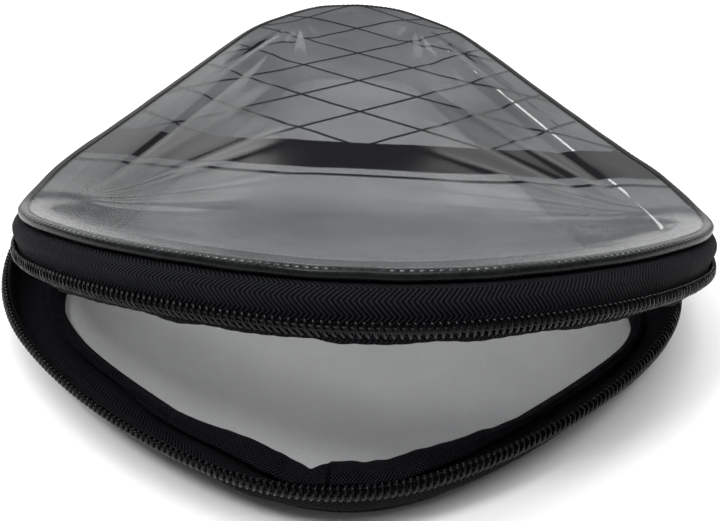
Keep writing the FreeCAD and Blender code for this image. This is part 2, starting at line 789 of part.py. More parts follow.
def build_tray(prefix, upper, blocks):
    """The five sewn pieces of a tray. The lid's are made flat and then folded."""
    made = {}
    makers = {"window": make_window, "piping": make_piping,
              "zip_tape_strip": make_tape, "binding": make_binding}
    for name, make in makers.items():
        if upper:
            made[name] = folded(make(f"flat_{name}", True), f"{prefix}_{name}")
        else:
            made[name] = make(f"{prefix}_{name}", False)
    tape = in_lengths(made["zip_tape_strip"], f"{prefix}_zip_tape", blocks)
    band = make_hinge_band(f"{prefix}_hinge_band", upper)
    return [made["window"], made["piping"], tape, made["binding"], band]


slider_reach = size.slider_park.value + size.slider_length.value / 2
stop_half = size.stop_length.value / 2
pitch = size.coil_pitch.value
near_stop = slider_reach - size.slider_length.value - size.slider_clearance.value - stop_half
far_stop = rim.length - stop_half - pitch
base_first = near_stop + stop_half + pitch
lid_first = slider_reach + size.swing_clearance.value
last = far_stop - stop_half - pitch

side_blocks = [side_block("right_side_block", True), side_block("left_side_block", False)]
subparts = build_tray("base", False, side_blocks)
subparts += build_tray("lid", True, side_blocks)
subparts.append(make_coil("base_zip_coil", False, base_first, last))
subparts.append(make_coil("lid_zip_coil", True, lid_first, last))
subparts.append(make_stops("base_zip_stops", False, [near_stop, far_stop]))
subparts.append(make_stops("lid_zip_stops", True, [near_stop, far_stop]))
subparts.append(make_slider())
subparts.append(make_pull_tab())
doc.recompute()


# ---------------------------------------------------------------- checks and export

def check_document():
    """Stop on a failed feature, an empty shape or an invalid solid."""
    for item in doc.Objects:
        if "Invalid" in item.State or "Error" in item.State:
            raise RuntimeError(f"{item.Name} failed: {item.State}")
    for item in subparts:
        shape = item.Shape
        if shape.isNull() or not shape.isValid() or not shape.Solids:
            raise RuntimeError(f"{item.Label} has no valid solid")


check_document()
os.makedirs("parts", exist_ok=True)
for item in subparts:
    item.Shape.exportStep(f"parts/{item.Label}.step")
    box = item.Shape.BoundBox
    print(f"{item.Label:18s} {len(item.Shape.Solids):4d} solids {item.Shape.Volume:10.1f} mm3 "
          f"x {box.XMin:7.1f}..{box.XMax:6.1f} y {box.YMin:7.1f}..{box.YMax:6.1f} "
          f"z {box.ZMin:6.1f}..{box.ZMax:5.1f}")
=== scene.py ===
"""Looks of the soft zip-round paddle case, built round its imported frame.

A tray is made flat first, in millimetres: a section is drawn as (out from the rim, up from the
window's outer face) and swept round the plan outline. Then it goes to its place as soft cloth
would. The base's undone wall leans. The lid's window sinks a little, and the lid is turned over,
bent up across its widest line and laid on the base. Both trays sway sideways towards the mouth.
"""
import bmesh
import bpy
import json
import math
import numpy as np
from mathutils import Matrix, Vector


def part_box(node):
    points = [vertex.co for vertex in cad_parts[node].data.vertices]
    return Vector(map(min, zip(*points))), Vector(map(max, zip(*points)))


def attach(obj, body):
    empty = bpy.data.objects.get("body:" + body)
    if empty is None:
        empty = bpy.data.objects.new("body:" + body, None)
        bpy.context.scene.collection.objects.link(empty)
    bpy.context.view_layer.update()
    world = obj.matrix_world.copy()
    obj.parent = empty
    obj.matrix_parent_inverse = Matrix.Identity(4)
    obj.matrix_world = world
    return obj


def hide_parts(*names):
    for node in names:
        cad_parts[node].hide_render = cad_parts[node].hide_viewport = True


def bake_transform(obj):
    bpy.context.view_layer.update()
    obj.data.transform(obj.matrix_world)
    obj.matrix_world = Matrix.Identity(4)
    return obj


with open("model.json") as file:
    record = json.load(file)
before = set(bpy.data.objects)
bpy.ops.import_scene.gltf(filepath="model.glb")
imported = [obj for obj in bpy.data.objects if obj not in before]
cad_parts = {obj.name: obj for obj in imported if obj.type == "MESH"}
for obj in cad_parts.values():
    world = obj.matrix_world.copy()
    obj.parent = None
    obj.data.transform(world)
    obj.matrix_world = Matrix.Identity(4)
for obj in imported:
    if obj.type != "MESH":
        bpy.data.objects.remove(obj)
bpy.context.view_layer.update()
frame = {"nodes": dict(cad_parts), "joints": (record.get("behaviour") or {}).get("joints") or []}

MM = 0.001
TURN = 2 * math.pi


def box_mm(node):
    """A node's box in millimetres."""
    low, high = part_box(node)
    return np.array(low) / MM, np.array(high) / MM


# ---------------------------------------------------------------- sizes, in millimetres

_, tape_high = box_mm("base_zip_tape")
coil_low, coil_high = box_mm("base_zip_coil")
slider_low, slider_high = box_mm("slider_body")
hinge = next(joint for joint in frame["joints"] if joint["name"] == "lid_hinge")

# The plan: half its size, the arcs of its right half, and half the straight narrow end.
HALF_WIDTH, HALF_LENGTH, TAPE_TOP = tape_high
NOSE_RADIUS = 62.0
NOSE_ANGLE = math.radians(22.8)
FLANK_RADIUS = 148.0
CORNER_RADIUS = 73.0
REAR_RADIUS = 32.0
HINGE_HALF = 12.0

# The closed case, and the fold across the lid's widest line.
HINGE_Z = hinge["pos_m"][2] / MM
CLOSED_HEIGHT = 2 * HINGE_Z
FOLD = math.radians(23.7)
BEND_LENGTH = 46.0

# The mouth begins this far behind the fold, and is fully open after this run.
MOUTH_BEHIND, MOUTH_RUN = 8.0, 45.0

# Sideways sway at the mouth. From the narrow end the coils are held for a share of the length,
# and free after another share. The lid's left coil, where no slider runs, is free earlier.
SWAY = 4.5
BASE_SWAY_POWER = 1.8
HELD, FREED_OVER = 0.50, 0.16
LEFT_HELD, LEFT_FREED_OVER = 0.10, 0.25
SWAY_FROM, SWAY_OVER = 3.0, 8.0

# How the lid's cloth gives: its rim, its window, and the window's rear corners.
RIM_SINK = 1.1
WINDOW_SINK = 2.2
CORNER_SINK, CORNER_PULL = 2.4, 3.0
REAR_CORNER, CORNER_REACH = (36.0, 124.0), 20.0

# Beside the lid's fold the window's edge spreads and the coil is drawn in: right, left.
FOLD_REACH = 40.0
FLANK_FROM, FLANK_OVER = 50.0, 40.0
WINDOW_SPREAD = (2.8, 0.9)
COIL_DRAW = (2.2, 2.6)

# How far the base's window edge stands in from its coil at the mouth: everywhere, and then
# (how far, where round the rim, over what length).
LEAN_ALL = 2.0
LEANS = [(7.2, -64.0, 50.0), (3.0, 66.0, 30.0), (-4.5, 128.0, 22.0)]

# The tape: its thickness, how it bulges and is puckered by the seam, the strip along its top
# that moves, its free edge at the mouth with one longer spot, and how far the edges reach up
# where the trays lie together.
TAPE_THICK = 0.7
BULGE, BULGE_WAVE, BULGE_UP, BULGE_OVER = 0.28, 0.16, 6.6, 2.4
PUCKER, PUCKER_OUT, PUCKER_OVER = 0.10, -1.8, 1.6
TOP_STRIP = 3.2
TAPE_EDGE, EDGE_RIPPLE = 1.5, 0.22
TAG_DEPTH, TAG_AT, TAG_WIDTH = 0.6, -8.0, 3.0
TO_MIDDLE = CLOSED_HEIGHT / 2 - TAPE_TOP - 0.1

# The coil, the run of its slider, and what the coils' ends keep clear of.
COIL_HEEL, COIL_HEAD = coil_low[2], coil_high[2]
TO_HEADS = COIL_HEAD - TAPE_TOP - 0.2
PITCH = 1.65
FILAMENT, HEAD_SWELL = 0.42, 0.14
COIL_DEPTH = 1.9
LEG_LEAN = 0.22
LID_HEEL, BASE_HEEL = 0.1, 0.8
HEAD_CURL, HEAD_SINK = 0.9, 0.9
SLIDER_TRAVEL = 106.0
SLIDER_CLEAR, ZONE_FADE = 4.0, 3.0
LID_COIL_START, BASE_COIL_START, COIL_END = 17.9, 2.85, 5.0

# The lock stitches over the coil's legs, and the filler cord inside its loops.
LOCK_RADIUS, LOCK_UP, LOCK_OUT = 0.15, 2.3, COIL_DEPTH - 0.1
LOCK_RIDE, LOCK_WEAVE, LOCK_CURL = 0.14, 0.10, HEAD_CURL * 0.25
CORD_RADIUS, CORD_UP = 0.42, 1.8

# The piping and its stitches.
BEAD_OUT, BEAD_UP = -4.0, 1.5
BEAD_HALF_WIDTH, BEAD_HALF_HEIGHT, BEAD_SQUARE = 1.75, 1.45, 0.72
BEAD_WAVE_UP, BEAD_WAVE_OUT, BEAD_LOWEST = 0.05, 0.08, 0.03
FLANGE_THICK = 0.3
STITCH = 2.1
STITCH_OUT, STITCH_RADIUS, STITCH_HALF = -2.95, 0.13, 0.62
STITCH_ARCH = np.array([0.62, 0.36, 0.26, 0.36, 0.62])
DENT, DENT_OVER, DENT_ALONG = 0.28, 0.45, 0.12

# The binding: its swell and waves. At the base's mouth it is narrower along the flanks, wider
# in front and higher, with one dip left of the middle.
SWELL, SWELL_LONG, SWELL_SHORT, BINDING_WAVE = 0.35, 0.30, 0.16, 0.35
BINDING_NARROW, BINDING_WIDE, BINDING_RISE = 3.8, 1.3, 1.3
FRONT_REACH, FRONT_FADE = 25.0, 45.0
DIP_AT, DIP_REACH, DIP_OUT, DIP_DOWN = -7.0, 4.0, 2.4, 0.8

# The clear sheets: where they are sewn, how far up they lie, and the lid's hanging middle.
SHEET_OUT = -5.3
SHEET_UP, SHEET_THICK = 0.12, 0.38
SHEET_RINGS, RING_POWER = 84, 1.15
SHEET_CENTRE = 26.0
WINDOW_SAG, SAG_FROM, SAG_OVER = 1.5, 8.0, 18.0

# A fold of a sheet, in shares of its length and width, and how the folds of a fan differ.
RISEN_AT, FADES_FROM, NARROWEST, WIDENING = 0.22, 0.35, 0.45, 0.9
SHORTENING = 0.62
BEARING_RANGE, LENGTH_RANGE = (-0.05, 0.05), (0.8, 1.15)
HEIGHT_RANGE, WIDTH_RANGE = (0.45, 0.95), (1.6, 3.6)

# The plain print: middle and half width of the band, the pinstripe, and the lozenge grid.
BAND_AT, BAND_HALF = -6.0, 8.5
PINSTRIPE_AT, PINSTRIPE_HALF = BAND_AT - 13.0, 0.6
GRID_FROM = BAND_AT + 8.0
GRID_LEAN, GRID_PITCH, GRID_HALF = 0.62, 13.0, 0.55
BAND_SLANT = 0.05


def ease(value):
    """0 below 0, 1 above 1, and a smooth step between."""
    value = np.clip(value, 0.0, 1.0)
    return value * value * (3 - 2 * value)


def rising(value, start, over):
    """0 up to the start, and 1 after so much more."""
    return ease((value - start) / over)


def bell(value, middle, width):
    """1 at the middle, dying away over the width on both sides."""
    return np.exp(-((value - middle) / width) ** 2)


# ---------------------------------------------------------------- the rim's outline

class Rim:
    """The plan outline. A distance runs from the middle of the mouth, to the right and round."""

    def __init__(self):
        nose = np.array([0.0, NOSE_RADIUS - HALF_LENGTH])
        lean = NOSE_ANGLE - math.pi / 2
        flank = nose + (NOSE_RADIUS - FLANK_RADIUS) * np.array([math.cos(lean), math.sin(lean)])
        corner_x = HALF_WIDTH - CORNER_RADIUS
        drop = math.sqrt((FLANK_RADIUS - CORNER_RADIUS) ** 2 - (corner_x - flank[0]) ** 2)
        corner = np.array([corner_x, flank[1] - drop])
        rear = np.array([HINGE_HALF, HALF_LENGTH - REAR_RADIUS])
        side = rear - corner
        flank_end = math.atan2(corner[1] - flank[1], corner[0] - flank[0])
        narrowing = CORNER_RADIUS - REAR_RADIUS
        side_angle = math.atan2(side[1], side[0]) - math.acos(narrowing / np.hypot(*side))
        side_length = math.sqrt(side @ side - narrowing ** 2)
        self.crease_y = corner[1]
        # Centre, radius, first and last bearing, and the length of an edge that is straight.
        outline = [(nose, NOSE_RADIUS, -math.pi / 2, lean, None),
                   (flank, FLANK_RADIUS, lean, flank_end, None),
                   (corner, CORNER_RADIUS, flank_end, side_angle, None),
                   (corner, CORNER_RADIUS, side_angle, side_angle, side_length),
                   (rear, REAR_RADIUS, side_angle, math.pi / 2, None),
                   (rear, REAR_RADIUS, math.pi / 2, math.pi / 2, HINGE_HALF)]
        self.edges = []
        self.half = 0.0
        for centre, radius, first, last, straight in outline:
            length = straight or radius * (last - first)
            self.edges.append((self.half, length, centre, radius, first, bool(straight)))
            self.half += length
        self.length = 2 * self.half
        self.side_end = self.edges[4][0]

    def signed(self, distance):
        """The same place as a distance from -half to half, which is negative on the left."""
        return np.mod(distance + self.half, self.length) - self.half

    def at(self, distance):
        """Points on the rim and unit vectors out of the wall."""
        run = self.signed(np.asarray(distance, float))
        flip = np.where(run < 0, -1.0, 1.0)
        run = np.abs(run)
        angle = np.zeros_like(run)
        point = np.zeros(run.shape + (2,))
        for start, length, centre, radius, first, straight in self.edges:
            here = (run >= start - 1e-9) & (run <= start + length + 1e-9)
            along = run[here] - start
            angle[here] = first if straight else first + along / radius
            out = np.stack([np.cos(angle[here]), np.sin(angle[here])], -1)
            point[here] = centre + radius * out
            if straight:
                point[here] += along[:, None] * np.array([-math.sin(first), math.cos(first)])
        normal = np.stack([np.cos(angle), np.sin(angle)], -1)
        point[..., 0] *= flip
        normal[..., 0] *= flip
        return point, normal


rim = Rim()
OPEN_HALF = rim.half - HINGE_HALF


def stations(spacing, half=None):
    """Distances round the whole rim, or from -half to half."""
    if half is None:
        count = int(rim.length / spacing)
        return np.arange(count) * rim.length / count
    return np.linspace(-half, half, int(2 * half / spacing) + 1)


def wobble(distance, wave, seed):
    """Smooth random waves of about unit height, closed round the rim."""
    waves, usual_height = 8, 2.2
    rng = np.random.default_rng(seed)
    main = rim.length / wave
    total = np.zeros_like(np.asarray(distance, float))
    for number in range(waves):
        harmonic = max(1, round(main * (0.5 + number / 6)))
        height, shift = rng.normal(), rng.uniform(0, TURN)
        total += height * np.cos(TURN * harmonic * distance / rim.length + shift)
    return total / usual_height


def opening(y):
    """0 where the two trays lie together, rising to 1 at the open mouth."""
    return ease((rim.crease_y + MOUTH_BEHIND - y) / MOUTH_RUN)


def mouth_share(distance):
    """The opening at distances round the rim."""
    point, _ = rim.at(distance)
    return opening(point[..., 1])


def slider_zone(distance):
    """1 where the slider runs, 0 elsewhere."""
    point, _ = rim.at(distance)
    x, y = point[..., 0], point[..., 1]
    behind = ease((slider_high[1] + SLIDER_CLEAR - y) / ZONE_FADE)
    ahead = ease((y - slider_low[1] + SLIDER_TRAVEL) / ZONE_FADE)
    return rising(x, start=0.0, over=10.0) * behind * ahead


# ---------------------------------------------------------------- from a flat tray to its place

def bend_table():
    """The lid's window line with its fold: forward run, turn, forward reach and rise."""
    reach, step = 400.0, 0.25
    run = np.linspace(-reach, reach, int(2 * reach / step) + 1)
    turn = FOLD * ease(run / BEND_LENGTH + 0.5)
    ahead = np.cumsum(np.cos(turn)) * step
    up = np.cumsum(np.sin(turn)) * step
    return run, turn, ahead - ahead[len(run) // 2], up - up[0]


BEND_RUN, BEND_TURN, BEND_AHEAD, BEND_UP = bend_table()


def bend_lid(points):
    """Turn a flat tray over, bend its front up and set it on the base."""
    forward = rim.crease_y - points[:, 1]
    angle = np.interp(forward, BEND_RUN, BEND_TURN)
    y = rim.crease_y - np.interp(forward, BEND_RUN, BEND_AHEAD)
    z = CLOSED_HEIGHT + np.interp(forward, BEND_RUN, BEND_UP)
    depth = points[:, 2]
    return np.stack([points[:, 0], y - depth * np.sin(angle), z - depth * np.cos(angle)], -1)


def sway(points, upper):
    """Sideways lean towards the mouth. The coils keep still where the slider runs."""
    share = (HALF_LENGTH - points[:, 1]) / (2 * HALF_LENGTH)
    at_coil = rising(points[:, 2], SWAY_FROM, SWAY_OVER)
    free = rising(share, HELD, FREED_OVER)
    if upper:
        left = rising(-points[:, 0], start=0.0, over=40.0)
        free = np.maximum(free, rising(share, LEFT_HELD, LEFT_FREED_OVER) * left)
        reach = SWAY * share
    else:
        reach = -SWAY * np.maximum(share, 0.0) ** BASE_SWAY_POWER
    moved = points.copy()
    moved[:, 0] += reach * (1 - at_coil * (1 - free))
    return moved


def slump(points):
    """The lid's cloth gives: window and rim sink, and the flanks shift beside the fold."""
    x, y = points[:, 0], points[:, 1]
    at_coil = np.clip(points[:, 2] / COIL_HEEL, 0.0, 1.0)
    at_window = 1 - at_coil
    mouth = opening(y)
    corner = bell(np.hypot(np.abs(x) - REAR_CORNER[0], y - REAR_CORNER[1]), 0.0, CORNER_REACH)
    beside = bell(y, rim.crease_y, FOLD_REACH) * rising(np.abs(x), FLANK_FROM, FLANK_OVER)
    spread, draw = np.where(x > 0, *WINDOW_SPREAD), np.where(x > 0, *COIL_DRAW)
    out = spread * at_window - draw * at_coil * mouth
    moved = points.copy()
    moved[:, 0] += np.sign(x) * beside * out
    moved[:, 1] -= CORNER_PULL * corner * at_window
    moved[:, 2] += (WINDOW_SINK + CORNER_SINK * corner) * at_window + RIM_SINK * mouth * at_coil
    return moved


def place(points, upper):
    """Flat tray points in their place on the case."""
    shape = points.shape
    points = points.reshape(-1, 3)
    if upper:
        points = bend_lid(sway(slump(points), upper))
    else:
        points = sway(points, upper)
    return points.reshape(shape)


def swept(distance, section):
    """Flat tray points for a section of shape (stations or 1, points, 2)."""
    point, normal = rim.at(distance)
    flat = point[:, None, :] + normal[:, None, :] * section[..., 0:1]
    up = np.broadcast_to(section[..., 1:2], flat.shape[:2] + (1,))
    return np.concatenate([flat, up], -1)


def floor_lean(distance):
    """How far the base's window edge stands in from its coil, which is less than 0 for out."""
    lean = LEAN_ALL
    for far, where, over in LEANS:
        lean = lean + far * bell(rim.signed(distance), where, over)
    return mouth_share(distance) * lean


def tray(distance, section, upper):
    """A swept section of a tray, leaned and in its place."""
    section = np.array(np.broadcast_to(section, (len(distance),) + section.shape[1:]))
    if not upper:
        at_floor = 1 - np.clip(section[..., 1] / COIL_HEAD, 0.0, 1.0)
        section[..., 0] -= floor_lean(distance)[:, None] * at_floor
    return place(swept(distance, section), upper)


def smooth_line(points, count, closed=False):
    """Evenly spaced points on a smooth line through a few given ones."""
    steps_between = 24
    points = np.array(points, float)
    if closed:
        ring = np.concatenate([points[-1:], points, points[:2]])
    else:
        before, after = 2 * points[0] - points[1], 2 * points[-1] - points[-2]
        ring = np.concatenate([[before], points, [after]])
    fine = []
    for a, b, c, d in zip(ring, ring[1:], ring[2:], ring[3:]):
        t = np.linspace(0, 1, steps_between, endpoint=False)[:, None]
        fine.append(0.5 * (2 * b + (c - a) * t + (2 * a - 5 * b + 4 * c - d) * t ** 2
                           + (3 * b - a - 3 * c + d) * t ** 3))
    fine = np.concatenate(fine + [ring[-2:-1]])
    length = np.concatenate([[0], np.cumsum(np.hypot(*np.diff(fine, axis=0).T))])
    wanted = np.linspace(0, length[-1], count, endpoint=not closed)
    return np.stack([np.interp(wanted, length, fine[:, axis]) for axis in (0, 1)], -1)


def thick_line(line, thickness):
    """Closed section: a line and the same line moved to its left by the thickness."""
    ahead = np.gradient(line, axis=0)
    ahead /= np.linalg.norm(ahead, axis=1)[:, None]
    left = np.stack([-ahead[:, 1], ahead[:, 0]], -1)
    return np.concatenate([line, (line + left * thickness)[::-1]])


# ---------------------------------------------------------------- meshes

def make_piece(name, points, faces, finish, uv=None, body=None):
    """A mesh object from points in millimetres, with a UV pair in millimetres per point."""
    mesh = bpy.data.meshes.new(name)
    mesh.from_pydata((points.reshape(-1, 3) * MM).tolist(), [], faces)
    if uv is not None:
        layer = mesh.uv_layers.new(name="cloth")
        loops = np.zeros(len(mesh.loops), np.int32)
        mesh.loops.foreach_get("vertex_index", loops)
        layer.data.foreach_set("uv", (uv.reshape(-1, 2)[loops] * MM).astype(np.float32).ravel())
    work = bmesh.new()
    work.from_mesh(mesh)
    bmesh.ops.recalc_face_normals(work, faces=work.faces)
    work.to_mesh(mesh)
    work.free()
    mesh.polygons.foreach_set("use_smooth", [True] * len(mesh.polygons))
    mesh.materials.append(finish)
    piece = bpy.data.objects.new(name, mesh)
    bpy.context.scene.collection.objects.link(piece)
    if body:
        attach(piece, body)
    return piece


def grid_faces(rows, columns, closed, first=0):
    """Quads of a grid whose last column joins its first. Closed, so do its rows."""
    row = np.arange(rows if closed else rows - 1)[:, None]
    column = np.arange(columns)[None, :]
    after = (column + 1) % columns
    below = (row + 1) % rows * columns
    corners = [row * columns + column, row * columns + after, below + after, below + column]
    return (np.stack(corners, -1).reshape(-1, 4) + first).tolist()


def tube_faces(rows, columns, closed=False):
    """Faces of a swept ring of points. An open one gets end caps."""
    faces = grid_faces(rows, columns, closed)
    if not closed:
        faces.append(list(range(columns)))
        faces.append(list(range((rows - 1) * columns, rows * columns)))
    return faces


def band_piece(name, points, distance, finish, body, closed):
    """A swept closed section as a piece, with UVs along and across the cloth."""
    steps = np.linalg.norm(np.diff(points[0], axis=0), axis=1)
    across = np.concatenate([[0], np.cumsum(steps)])
    uv = np.stack(np.broadcast_arrays(distance[:, None], across[None, :]), -1)
    return make_piece(name, points, tube_faces(*points.shape[:2], closed), finish, uv, body)


def tube_mesh(line, radius, sides):
    """Points and faces of a round tube along a line, with caps."""
    ahead = np.gradient(line, axis=0)
    ahead /= np.linalg.norm(ahead, axis=1)[:, None]
    side = np.cross(ahead, np.gradient(ahead, axis=0))
    weak = np.linalg.norm(side, axis=1) < 1e-9
    side[weak] = np.cross(ahead[weak], [0.3, 0.2, 1.0])
    side /= np.linalg.norm(side, axis=1)[:, None]
    for index in range(1, len(side)):
        kept = side[index - 1] - ahead[index] * (side[index - 1] @ ahead[index])
        side[index] = kept / np.linalg.norm(kept)
    up = np.cross(ahead, side)
    angle = (np.arange(sides) * TURN / sides)[None, :, None]
    ring = np.cos(angle) * side[:, None] + np.sin(angle) * up[:, None]
    radius = np.broadcast_to(np.asarray(radius, float), (len(line),))
    points = line[:, None] + ring * radius[:, None, None]
    return points.reshape(-1, 3), tube_faces(len(line), sides)


def joined(parts):
    """Several (points, faces) as one."""
    points, faces, first = [], [], 0
    for some, quads in parts:
        points.append(some)
        faces += [[index + first for index in quad] for quad in quads]
        first += len(some)
    return np.concatenate(points), faces


# ---------------------------------------------------------------- finishes

class Finish:
    """A node material under construction."""

    def __init__(self, name):
        self.material = bpy.data.materials.new(name)
        self.material.use_nodes = True
        self.tree = self.material.node_tree
        self.shader = self.tree.nodes["Principled BSDF"]

    def node(self, kind, **settings):
        """A new node with its settings."""
        made = self.tree.nodes.new(kind)
        for key, value in settings.items():
            setattr(made, key, value)
        return made

    def join(self, source, target):
        """Link an output to an input."""
        self.tree.links.new(source, target)

    def drive(self, socket, source):
        """Link a source to one of the shader's sockets."""
        self.join(source, self.shader.inputs[socket])

    def set(self, **values):
        """Set the shader's own sockets."""
        for name, value in values.items():
            self.shader.inputs[name.replace("_", " ")].default_value = value

    def maths(self, operation, first, second=None):
        """A sum on numbers or outputs."""
        made = self.node("ShaderNodeMath", operation=operation)
        for slot, value in enumerate([first, second]):
            if value is None:
                continue
            if isinstance(value, (int, float)):
                made.inputs[slot].default_value = value
            else:
                self.join(value, made.inputs[slot])
        return made.outputs[0]

    def scaled(self, value, factor):
        """A value times a factor."""
        return self.maths("MULTIPLY", value, factor)

    def waves(self, value, pitch):
        """A sine that repeats at every pitch."""
        return self.maths("SINE", self.scaled(value, TURN / pitch))

    def within(self, value, middle, half):
        """1 within half of the middle, 0 elsewhere."""
        away = self.maths("ABSOLUTE", self.maths("SUBTRACT", value, middle))
        return self.maths("LESS_THAN", away, half)

    def cloth(self):
        """Distances along and across the cloth, in millimetres."""
        uv = self.node("ShaderNodeUVMap", uv_map="cloth")
        parts = self.node("ShaderNodeSeparateXYZ")
        self.join(uv.outputs[0], parts.inputs[0])
        return [self.scaled(parts.outputs[axis], 1 / MM) for axis in (0, 1)]

    def noise(self, scale, detail=2.0, roughness=0.5, stretch=None):
        """Noise in the object's own space, with this many cells to a metre."""
        where = self.node("ShaderNodeTexCoord").outputs["Object"]
        if stretch:
            mapping = self.node("ShaderNodeMapping")
            mapping.inputs["Scale"].default_value = stretch
            self.join(where, mapping.inputs[0])
            where = mapping.outputs[0]
        made = self.node("ShaderNodeTexNoise")
        made.inputs["Scale"].default_value = scale
        made.inputs["Detail"].default_value = detail
        made.inputs["Roughness"].default_value = roughness
        self.join(where, made.inputs["Vector"])
        return made.outputs[0]

    def ramp(self, value, stops):
        """Colours at stops of (position, (red, green, blue))."""
        made = self.node("ShaderNodeValToRGB")
        while len(made.color_ramp.elements) < len(stops):
            made.color_ramp.elements.new(0.5)
        for element, (position, colour) in zip(made.color_ramp.elements, stops):
            element.position = position
            element.color = (*colour, 1)
        self.join(value, made.inputs[0])
        return made.outputs[0]

    def between(self, value, low, high):
        """The value, taken from 0..1 to low..high."""
        made = self.node("ShaderNodeMapRange")
        made.inputs["To Min"].default_value = low
        made.inputs["To Max"].default_value = high
        self.join(value, made.inputs[0])
        return made.outputs[0]

    def mix(self, share, first, second):
        """The first colour where the share is 0 and the second where it is 1."""
        made = self.node("ShaderNodeMix", data_type="RGBA")
        self.join(share, made.inputs[0])
        self.join(first, made.inputs[6])
        made.inputs[7].default_value = (*second, 1)
        return made.outputs[2]

    def bump(self, height, distance, strength=1.0):
        """Relief from a height map. The distance is in millimetres."""
        made = self.node("ShaderNodeBump")
        made.inputs["Strength"].default_value = strength
        made.inputs["Distance"].default_value = distance * MM
        self.join(height, made.inputs["Height"])
        self.drive("Normal", made.outputs[0])


def herringbone_tape():
    """Black zip tape: diagonal ribs that turn at each band, over fine threads, with a painted
    highlight on the raised rib crests.
    """
    rib_pitch, rib_turns_at, yarn_pitch = 1.15, 2.7, 0.34
    finish = Finish("herringbone_tape")
    along, across = finish.cloth()
    slanted = finish.maths("ADD", along, finish.maths("PINGPONG", across, rib_turns_at))
    rib = finish.scaled(finish.waves(slanted, rib_pitch), 0.50)
    yarn = finish.scaled(finish.waves(across, yarn_pitch), 0.10)
    fluff = finish.scaled(finish.noise(scale=1600), 0.5)
    height = finish.maths("ADD", finish.maths("ADD", rib, yarn), fluff)
    # Colour follows the weave's height, so raised rib crests are lighter: a painted highlight on
    # black yarn.
    finish.drive("Base Color", finish.ramp(finish.maths("ADD", height, 0.35), [
        (0.30, (0.0006, 0.0007, 0.0010)), (0.65, (0.0018, 0.0019, 0.0028)),
        (1.0, (0.014, 0.015, 0.019))]))
    finish.drive("Roughness", finish.between(finish.noise(scale=90), low=0.62, high=0.82))
    finish.bump(height, distance=0.28)
    finish.set(Sheen_Weight=0.005, Sheen_Roughness=0.45, Specular_IOR_Level=0.06)
    return finish.material


def plain_weave():
    """Black plain-weave binding: its raised crossings are coloured lighter, a painted highlight
    where they catch the light.
    """
    weave_pitch = 1.1
    finish = Finish("plain_weave")
    warp, weft = [finish.waves(run, weave_pitch) for run in finish.cloth()]
    crossing = finish.maths("MULTIPLY", warp, weft)
    fluff = finish.between(finish.noise(scale=900), low=0.35, high=0.65)
    height = finish.maths("ADD", finish.scaled(crossing, 0.55), fluff)
    # Raised crossings get the lighter colour: a painted highlight on the black yarn.
    finish.drive("Base Color", finish.ramp(height, [
        (0.42, (0.0005, 0.0006, 0.0010)), (0.66, (0.0015, 0.0016, 0.0026)),
        (0.98, (0.026, 0.028, 0.036))]))
    finish.drive("Roughness", finish.between(finish.noise(scale=120), low=0.6, high=0.8))
    finish.bump(height, distance=0.14)
    finish.set(Sheen_Weight=0.002, Sheen_Roughness=0.4, Specular_IOR_Level=0.04)
    return finish.material


def vinyl(name, dark, light, mottling, roughness, gloss):
    """Black plastic with faint mottling and fine scuffs."""
    finish = Finish(name)
    patch = finish.noise(mottling, detail=4, roughness=0.6)
    finish.drive("Base Color", finish.ramp(patch, [(0.3, dark), (0.7, light)]))
    worn = finish.noise(scale=1400, detail=3, roughness=0.7, stretch=(1.0, 1.0, 0.25))
    finish.drive("Roughness", finish.between(worn, low=roughness - 0.07, high=roughness + 0.09))
    finish.bump(finish.maths("ADD", finish.scaled(patch, 0.6), worn), distance=0.035)
    finish.set(Specular_IOR_Level=gloss)
    return finish.material


def thread_finish():
    """Black polyester sewing thread."""
    finish = Finish("sewing_thread")
    ply = finish.noise(scale=2600, detail=1, stretch=(1.0, 1.0, 0.3))
    black = [(0.3, (0.001, 0.001, 0.0014)), (0.75, (0.005, 0.005, 0.006))]
    finish.drive("Base Color", finish.ramp(ply, black))
    finish.drive("Roughness", finish.between(ply, low=0.35, high=0.6))
    finish.bump(ply, distance=0.04)
    finish.set(Sheen_Weight=0.02, Specular_IOR_Level=0.2)
    return finish.material


def light_thread_finish():
    """The stitches of the piping in the needle dents, coloured light grey."""
    finish = Finish("piping_thread")
    ply = finish.noise(scale=2600, detail=1)
    grey = [(0.2, (0.10, 0.11, 0.11)), (0.8, (0.34, 0.36, 0.36))]
    finish.drive("Base Color", finish.ramp(ply, grey))
    finish.drive("Roughness", finish.between(ply, low=0.3, high=0.5))
    finish.bump(ply, distance=0.03)
    return finish.material


def enamel():
    """Black enamel over the slider's die-cast metal, chipped bright at a few specks."""
    finish = Finish("black_enamel")
    worn = finish.noise(scale=420, detail=5, roughness=0.65)
    finish.drive("Base Color", finish.ramp(worn, [
        (0.3, (0.009, 0.009, 0.010)), (0.68, (0.016, 0.016, 0.018)), (0.78, (0.10, 0.10, 0.10))]))
    finish.drive("Roughness", finish.between(worn, low=0.22, high=0.42))
    finish.bump(worn, distance=0.05)
    finish.set(Coat_Weight=0.6, Coat_Roughness=0.12, Specular_IOR_Level=0.6)
    return finish.material


